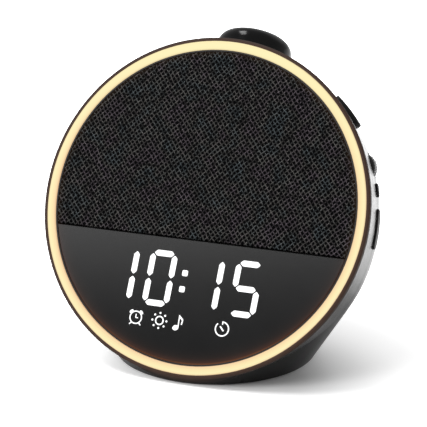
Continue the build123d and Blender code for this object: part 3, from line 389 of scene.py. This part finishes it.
# A square grid is laid into the outline: its lower edge is the straight one, its
# sides run up the circle to the shoulders, and its upper edge joins the shoulders.
corner = atan2(CLOTH_BOTTOM, sqrt(CLOTH_RADIUS ** 2 - CLOTH_BOTTOM ** 2))
corner_x = CLOTH_RADIUS * cos(corner)
shoulder = radians(52)
west_low, east_low = Vector((-corner_x, CLOTH_BOTTOM)), Vector((corner_x, CLOTH_BOTTOM))
west_high, east_high = on_edge(pi - shoulder), on_edge(shoulder)
deselect()
bpy.ops.mesh.primitive_grid_add(x_subdivisions=CLOTH_COLUMNS, y_subdivisions=CLOTH_ROWS, size=2)
cloth = bpy.context.object
cloth.name = "speaker_cloth"
for vertex in cloth.data.vertices:
    across, up = (vertex.co.x + 1) / 2, (vertex.co.y + 1) / 2
    low = Vector((corner_x * (2 * across - 1), CLOTH_BOTTOM))
    high = on_edge(pi - shoulder - (pi - 2 * shoulder) * across)
    east = on_edge(corner + (shoulder - corner) * up)
    west = Vector((-east.x, east.y))
    corners = west_low.lerp(east_low, across).lerp(west_high.lerp(east_high, across), up)
    point = west.lerp(east, across) + low.lerp(high, up) - corners
    vertex.co = (point.x, point.y, CLOTH_FRONT)

# The outer edge is drawn down into a skirt, and the corner above it is rounded.
bpy.ops.object.mode_set(mode="EDIT")
bpy.ops.mesh.select_mode(type="EDGE")
bpy.ops.mesh.select_all(action="SELECT")
bpy.ops.mesh.region_to_loop()
bpy.ops.mesh.extrude_region_move(TRANSFORM_OT_translate={"value": (0, 0, -CLOTH_DEPTH)})
bpy.ops.object.mode_set(mode="OBJECT")
skirt = {key for polygon in cloth.data.polygons
         if abs(polygon.normal.z) < 0.5 for key in polygon.edge_keys}
for edge in cloth.data.edges:
    ends = [cloth.data.vertices[i].co.z for i in edge.vertices]
    edge.select = edge.key in skirt and min(ends) > CLOTH_FRONT - TOUCH
bpy.ops.object.mode_set(mode="EDIT")
bpy.ops.mesh.bevel(offset=CLOTH_ROUND, segments=3, affect="EDGES")
bpy.ops.object.mode_set(mode="OBJECT")
on_face(cloth)
bpy.ops.object.shade_smooth_by_angle(angle=radians(50))

# Two sets of slanting threads cross each other, wander a little and vary in
# thickness; fluff breaks up their colour.
weave, tree, surface = blank_material("speaker_mesh")
place = face_place(tree)
wander = vector_maths(
    tree, "MULTIPLY_ADD", noise(tree, place, WANDER_SIZE, 2, 0.5, "Color"),
    (WANDER_REACH, WANDER_REACH, 0), (-WANDER_REACH / 2, -WANDER_REACH / 2, 0))
x, y, z = apart(tree, vector_maths(tree, "ADD", place, wander))
x_turns = maths(tree, "MULTIPLY_ADD", x, cos(MESH_TURN) / MESH_ACROSS,
                maths(tree, "MULTIPLY", y, -sin(MESH_TURN) / MESH_ACROSS))
y_turns = maths(tree, "MULTIPLY_ADD", y, cos(MESH_TURN) / MESH_UP,
                maths(tree, "MULTIPLY", x, sin(MESH_TURN) / MESH_UP))
gaps = []
for sense in (1, -1):
    slant = maths(tree, "MULTIPLY_ADD", y_turns, sense, x_turns)
    wave = maths(tree, "SINE", maths(tree, "MULTIPLY", slant, pi))
    gaps.append(maths(tree, "ABSOLUTE", wave))
thread = spread(tree, maths(tree, "MINIMUM", *gaps), 1, 0, THREAD_CORE, THREAD_EDGE)
fluff = spread(tree, noise(tree, place, FLUFF_SIZE, 2), low=0.3, high=1.25)
strand = spread(tree, noise(tree, place, STRAND_SIZE, 1), low=0.15, high=1.2, start=0.36, end=0.64)
height = maths(tree, "MULTIPLY", maths(tree, "MULTIPLY", thread, fluff), strand)
tint = ramp(tree, noise(tree, place, TINT_SIZE, 2), (
    (0.35, (0.041, 0.048, 0.051)), (0.5, (0.051, 0.049, 0.046)), (0.62, (0.052, 0.044, 0.050))))
set_sockets(tree, surface, {
    "Base Color": blend_colours(tree, height, (0.0008, 0.0008, 0.0009), tint),
    "Metallic": 0.7,
    "Specular Tint": (0.08, 0.08, 0.08),
    "Roughness": 0.45,
    "Specular IOR Level": 0.02})
relief(tree, surface, height, depth=0.0002, strength=0.6)
# Painted glow of the ring's light on the cloth, near the ring's inner edge.
painted_ring_glow(weave, RING_INNER, reach=0.0040, colour=(0.030, 0.017, 0.009))
cloth.data.materials.append(weave)
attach(cloth, "case")
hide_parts("grille_cloth")

# ------------------------------------------------------------ the smoked window
# Tinted PMMA window, satin outside, set in the frame below the cloth. It hides
# It hides the display until it is lit, and its round edge carries a painted glow of the ring's light,
# stronger towards the bottom.
PAINTED_EDGE_GLOW = ((0.0, (0, 0, 0)), (0.3, (0.010, 0.0040, 0.0022)),
             (0.75, (0.045, 0.015, 0.007)), (1.0, (0.20, 0.075, 0.030)))
GLOW_START, WINDOW_RADIUS = 0.0510, 0.0606
WINDOW_LOW, WINDOW_HIGH = -0.052, -0.014

smoke, tree, surface = blank_material("smoked_window")
place = face_place(tree)
distance, up, out = over_face(tree, place)
# Painted glow of the ring's light, strongest at the round edge and towards the bottom.
near_ring = spread(tree, distance, 0, 1, GLOW_START, WINDOW_RADIUS)
near_ring = maths(tree, "MULTIPLY", maths(tree, "POWER", near_ring, 4.0),
                  spread(tree, up, 1.0, 0.5, WINDOW_LOW, WINDOW_HIGH))
patches = noise(tree, place, size=0.02, detail=3)
set_sockets(tree, surface, {
    "Emission Color": ramp(tree, near_ring, PAINTED_EDGE_GLOW),
    "Emission Strength": 1.0,
    "Base Color": blend_colours(tree, patches, (0.0012, 0.0012, 0.0013), (0.0018, 0.0018, 0.0019)),
    "Roughness": spread(tree, patches, 0.145, 0.165),
    "Specular IOR Level": 0.12})
relief(tree, surface, noise(tree, place, size=0.00025), depth=0.000003)
finish(smoke, "display_lens")

# ------------------------------------------------------ lit digits and symbols
# What the display shows: the lit bars of four digits, the colon and four signs,
# white light shapes on the window's face, with softened corners.
LIT_DEPTH, LIT_FRONT = 0.00004, -0.00038
DIGIT_MIDDLE, BAR_TALL, BAR_HALF = -0.0293, 0.00965, 0.00445
DIGIT_SLANT = tan(radians(2.5))
BAR_STROKE, BAR_GAP, BAR_ROUND = 0.0023, 0.00035, 0.00035

lit, tree, surface = blank_material("lit_white")
even = noise(tree, face_place(tree), size=0.004, detail=2)
set_sockets(tree, surface, {
    "Emission Color": blend_colours(tree, even, (0.97, 0.98, 1.0), (1.0, 1.0, 0.99)),
    "Emission Strength": 1.05,
    "Base Color": (0.2, 0.2, 0.2),
    "Roughness": 0.6})


def thicken():
    """The flat shape in edit mode gets its thickness, and edit mode ends."""
    bpy.ops.mesh.select_all(action="SELECT")
    bpy.ops.mesh.extrude_region_move(TRANSFORM_OT_translate={"value": (0, 0, LIT_DEPTH)})
    bpy.ops.mesh.select_all(action="SELECT")
    bpy.ops.mesh.normals_make_consistent(inside=False)
    bpy.ops.object.mode_set(mode="OBJECT")


def leaning(y):
    """How far the digits' slant moves a point at a height to the right."""
    return (y - DIGIT_MIDDLE) * DIGIT_SLANT


def lit_bar(x, y, length, level):
    """One upright or level light bar: a plane with its two ends drawn to points."""
    half, stroke = length / 2 - BAR_GAP, BAR_STROKE / 2
    deselect()
    bpy.ops.mesh.primitive_plane_add(size=1, location=(0, 0, 0))
    bar = bpy.context.object
    bar.scale = (BAR_STROKE, 2 * half - BAR_STROKE, 1)
    bpy.ops.object.transform_apply(location=True, rotation=True, scale=True)
    bpy.ops.object.mode_set(mode="EDIT")
    bpy.ops.mesh.select_mode(type="EDGE")
    for end in (-1, 1):
        bpy.ops.mesh.select_all(action="DESELECT")
        bpy.ops.object.mode_set(mode="OBJECT")
        for edge in bar.data.edges:
            ends = [bar.data.vertices[i].co.y * end for i in edge.vertices]
            edge.select = min(ends) > half - stroke - TOUCH
        bpy.ops.object.mode_set(mode="EDIT")
        bpy.ops.mesh.extrude_region_move(TRANSFORM_OT_translate={"value": (0, end * stroke, 0)})
        bpy.ops.mesh.merge(type="CENTER")
    bpy.ops.mesh.select_all(action="SELECT")
    bpy.ops.mesh.dissolve_limited(angle_limit=radians(1))
    bpy.ops.mesh.select_all(action="SELECT")
    bpy.ops.mesh.bevel(offset=BAR_ROUND, offset_type="OFFSET", segments=3, affect="VERTICES")
    thicken()
    for vertex in bar.data.vertices:
        px, py = vertex.co.x, vertex.co.y
        if level:
            px, py = py, -px
        vertex.co = (px + x + leaning(py + y), py + y, vertex.co.z + LIT_FRONT - LIT_DEPTH)
    return bar


def lit_sign(name, parts):
    """The parts of one digit or sign are joined, lit and set on the face."""
    deselect()
    for part in parts:
        part.select_set(True)
    bpy.context.view_layer.objects.active = parts[0]
    bpy.ops.object.join()
    whole = bpy.context.object
    whole.name = whole.data.name = name
    whole.data.materials.append(lit)
    on_face(whole)
    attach(whole, "case")


def digit(name, middle, bars):
    """A digit of lit bars, each named by its place in the figure eight."""
    half = BAR_TALL / 2
    places = {
        "top": (0, BAR_TALL, True), "middle": (0, 0, True), "bottom": (0, -BAR_TALL, True),
        "upper_left": (-BAR_HALF, half, False), "upper_right": (BAR_HALF, half, False),
        "lower_left": (-BAR_HALF, -half, False), "lower_right": (BAR_HALF, -half, False)}
    parts = []
    for bar in bars:
        x, y, level = places[bar]
        parts.append(lit_bar(middle + x, DIGIT_MIDDLE + y, 2 * BAR_HALF if level else BAR_TALL, level))
    lit_sign(name, parts)


digit("lit_hour_tens", -0.02885, ("upper_right", "lower_right"))
digit("lit_hour_units", -0.01325,
      ("top", "bottom", "upper_left", "upper_right", "lower_left", "lower_right"))
digit("lit_minute_tens", 0.00625, ("upper_right", "lower_right"))
digit("lit_minute_units", 0.02185, ("top", "middle", "bottom", "upper_left", "lower_right"))


def settle(piece, x, y, tilt):
    """A flat sign is turned about its middle and moved to its place."""
    piece.data.transform(Matrix.Rotation(tilt, 4, "Z"))
    piece.data.transform(Matrix.Translation((x, y, LIT_FRONT - LIT_DEPTH)))


def lit_disc(x, y, radius, stroke=0.0, corners=40, squash=1.0, tilt=0.0, opening=None):
    """A lit dot from a filled circle, or with a stroke a ring, which may be open
    between two angles."""
    deselect()
    bpy.ops.mesh.primitive_circle_add(
        vertices=corners, radius=radius, fill_type="NGON", location=(0, 0, 0))
    piece = bpy.context.object
    bpy.ops.object.mode_set(mode="EDIT")
    if stroke:
        bpy.ops.mesh.inset(thickness=stroke, depth=0)
        bpy.ops.mesh.delete(type="FACE")
    if opening:
        bpy.ops.mesh.select_mode(type="FACE")
        bpy.ops.object.mode_set(mode="OBJECT")
        for polygon in piece.data.polygons:
            turn = atan2(polygon.center.y, polygon.center.x)
            polygon.select = opening[0] < turn < opening[1]
        bpy.ops.object.mode_set(mode="EDIT")
        bpy.ops.mesh.delete(type="FACE")
    thicken()
    piece.data.transform(Matrix.Diagonal((1, squash, 1, 1)))
    settle(piece, x, y, tilt)
    return piece


def lit_stroke(x, y, length, width, tilt=0.0, rounding=0.45):
    """A short lit line with rounded ends, drawn about its middle."""
    deselect()
    bpy.ops.mesh.primitive_plane_add(size=1, location=(0, 0, 0))
    piece = bpy.context.object
    piece.scale = (length, width, 1)
    bpy.ops.object.transform_apply(location=True, rotation=True, scale=True)
    bpy.ops.object.mode_set(mode="EDIT")
    bpy.ops.mesh.bevel(offset=width * rounding, offset_type="OFFSET", segments=4, affect="VERTICES")
    thicken()
    settle(piece, x, y, tilt)
    return piece


COLON_X, COLON_SPACE, COLON_DOT = -0.0035, 0.00624, 0.0023
dots = []
for y in (DIGIT_MIDDLE + COLON_SPACE / 2, DIGIT_MIDDLE - COLON_SPACE / 2):
    dots.append(lit_stroke(COLON_X + leaning(y), y, COLON_DOT, COLON_DOT, rounding=0.24))
lit_sign("lit_colon", dots)

# Alarm sign: a round clock with two bells, two feet and two hands.
SIGN_ROW, LINE, HAND = -0.0454, 0.00046, 0.0004
ALARM_X, ALARM_RADIUS = -0.0206, 0.0026
alarm = [lit_disc(ALARM_X, SIGN_ROW, ALARM_RADIUS, stroke=LINE),
         lit_stroke(ALARM_X, SIGN_ROW + 0.0006, length=0.0015, width=HAND, tilt=pi / 2),
         lit_stroke(ALARM_X + 0.00045, SIGN_ROW - 0.0001, length=0.0011, width=HAND)]
for side in (-1, 1):
    alarm.append(lit_disc(ALARM_X + side * 0.00205, SIGN_ROW + 0.00215, 0.0009,
                          squash=0.55, tilt=-side * radians(42)))
    alarm.append(lit_stroke(ALARM_X + side * 0.00185, SIGN_ROW - 0.00235,
                            length=0.0014, width=0.00045, tilt=-side * radians(48)))
lit_sign("lit_alarm", alarm)

# Light sign: a ring with eight dots round it.
SUN_X, SUN_RADIUS, SUN_REACH, RAYS = -0.0108, 0.0018, 0.0029, 8
sun = [lit_disc(SUN_X, SIGN_ROW, SUN_RADIUS, stroke=0.00052)]
for ray in range(RAYS):
    turn = radians(360 / RAYS * ray)
    sun.append(lit_disc(SUN_X + SUN_REACH * cos(turn), SIGN_ROW + SUN_REACH * sin(turn),
                        0.0004, corners=16))
lit_sign("lit_light", sun)

# Sound sign: a note with an oval head, a stem and a flag of two strokes.
NOTE_X = -0.0027
note = [lit_disc(NOTE_X - 0.0012, SIGN_ROW - 0.0019, 0.00125, squash=0.8, tilt=radians(20)),
        lit_stroke(NOTE_X - 0.0002, SIGN_ROW + 0.0006, length=0.0050, width=0.00045, tilt=pi / 2),
        lit_stroke(NOTE_X + 0.00055, SIGN_ROW + 0.00195, length=0.0021, width=0.0007, tilt=-radians(42)),
        lit_stroke(NOTE_X + 0.00115, SIGN_ROW + 0.0004, length=0.0020, width=0.0005, tilt=-radians(100))]
lit_sign("lit_sound", note)

# Timer sign: a ring that is open at its upper left, with a tick and a pointer.
TIMER_X, TIMER_RADIUS = 0.0148, 0.0029
timer = [lit_disc(TIMER_X, SIGN_ROW, TIMER_RADIUS, stroke=0.0005, corners=72,
                  opening=(radians(92), radians(135))),
         lit_stroke(TIMER_X, SIGN_ROW + 0.0023, length=0.0013, width=0.0005, tilt=pi / 2),
         lit_stroke(TIMER_X - 0.0001, SIGN_ROW + 0.0001, length=0.0024, width=0.0006, tilt=-radians(47))]
lit_sign("lit_timer", timer)

# ------------------------------------------------------------------ the dial
# Turning and pressing knob of piano-black ABS, pushed on the encoder's shaft on
# the upper back of the ball. Shaft, nut and the shell of the power socket are of
# bright steel.
piano_black = moulded("piano_black", (0.0016, 0.0016, 0.0017), (0.0026, 0.0026, 0.0027),
                      rough=(0.14, 0.17), grain=0.0011, depth=0.000002, specular=0.09)
steel = moulded("bright_steel", (0.42, 0.41, 0.40), (0.56, 0.55, 0.53),
                rough=(0.24, 0.36), grain=0.0003, depth=0.000006, mottle=0.002, metal=1.0)
finish(piano_black, "dial_knob")
finish(steel, "encoder_shaft", "encoder_nut", "power_inlet")

# ------------------------------------------------------------- the side controls
# Three buttons of matt black plastic, each over its own switch, and a serrated
# thumbwheel of dark grey plastic on its potentiometer, at the right of the ball.
key_black = moulded("key_black", (0.0035, 0.0035, 0.0035), (0.0055, 0.0055, 0.0055),
                    rough=(0.42, 0.5), grain=0.0004, depth=0.00001, specular=0.12)
wheel_grey = moulded("wheel_grey", (0.012, 0.012, 0.012), (0.020, 0.020, 0.020),
                     rough=(0.36, 0.45), grain=0.0004, depth=0.00001)
finish(key_black, "upper_button", "small_button", "lower_button")
finish(wheel_grey, "volume_wheel")

# ------------------------------------------------------------- screws and foot
# Black-plated screws hold the rear cover, and bright steel ones all that is
# inside. The round pad under the foot is of soft rubber, set in its recess.
black_screw = moulded("black_screw", (0.03, 0.03, 0.032), (0.06, 0.06, 0.062),
                      rough=(0.3, 0.45), grain=0.0004, depth=0.00001, mottle=0.002, metal=1.0)
rubber = moulded("foot_rubber", (0.018, 0.018, 0.018), (0.030, 0.030, 0.029),
                 rough=(0.7, 0.85), grain=0.0007, depth=0.00003, mottle=0.004, specular=0.3)
finish(black_screw, "cover_screws")
finish(steel, "frame_screws", "display_screws", "speaker_screws", "board_screws", "side_screws")
finish(rubber, "foot_pad")

# --------------------------------------------------------------- the electronics
# Boards of green glass laminate, screwed to their posts, with the backup cell, and
# the white plastic that leads the light of the yellow lamps to ring and digits.
board_green = moulded("board_green", (0.006, 0.05, 0.018), (0.012, 0.085, 0.03),
                      rough=(0.3, 0.42), grain=0.0006, depth=0.00001, mottle=0.003)
channel_white = moulded("channel_white", (0.70, 0.69, 0.66), (0.78, 0.77, 0.75),
                        rough=(0.4, 0.5), grain=0.0006, depth=0.00001)
bar_white = moulded("bar_white", (0.55, 0.55, 0.54), (0.66, 0.66, 0.65),
                    rough=(0.45, 0.55), grain=0.0006, depth=0.00001)
lamp_yellow = moulded("lamp_yellow", (0.75, 0.52, 0.10), (0.85, 0.66, 0.22),
                      rough=(0.3, 0.4), grain=0.0004, depth=0.00001, mottle=0.001)
case_black = moulded("case_black", (0.02, 0.02, 0.021), (0.035, 0.035, 0.036),
                     rough=(0.35, 0.5), grain=0.0005, depth=0.00002)
finish(board_green, "ring_board", "display_board", "main_board", "side_board", "inlet_board")
finish(channel_white, "ring_reflector")
finish(bar_white, "digit_segments")
finish(lamp_yellow, "ring_lamps")
finish(case_black, "board_parts", "cell_holder", "button_switches", "volume_pot",
       "encoder_body", "encoder_plunger")
finish(steel, "backup_cell")

# --------------------------------------------------------------- the loudspeaker
# Black basket, screwed to the front frame, with a cone of paper pulp in a rubber
# surround glued into it, and a ferrite magnet on its back.
cone_paper = moulded("cone_paper", (0.018, 0.017, 0.016), (0.045, 0.043, 0.040),
                     rough=(0.8, 0.95), grain=0.0005, depth=0.00005, mottle=0.003, specular=0.2)
soft_rubber = moulded("surround_rubber", (0.010, 0.010, 0.010), (0.018, 0.018, 0.018),
                      rough=(0.5, 0.65), grain=0.0005, depth=0.00001)
magnet_grey = moulded("magnet_grey", (0.06, 0.06, 0.065), (0.10, 0.10, 0.105),
                      rough=(0.45, 0.6), grain=0.0007, depth=0.00003)
finish(case_black, "speaker_basket")
finish(cone_paper, "speaker_cone")
finish(soft_rubber, "speaker_surround")
finish(magnet_grey, "speaker_magnet")
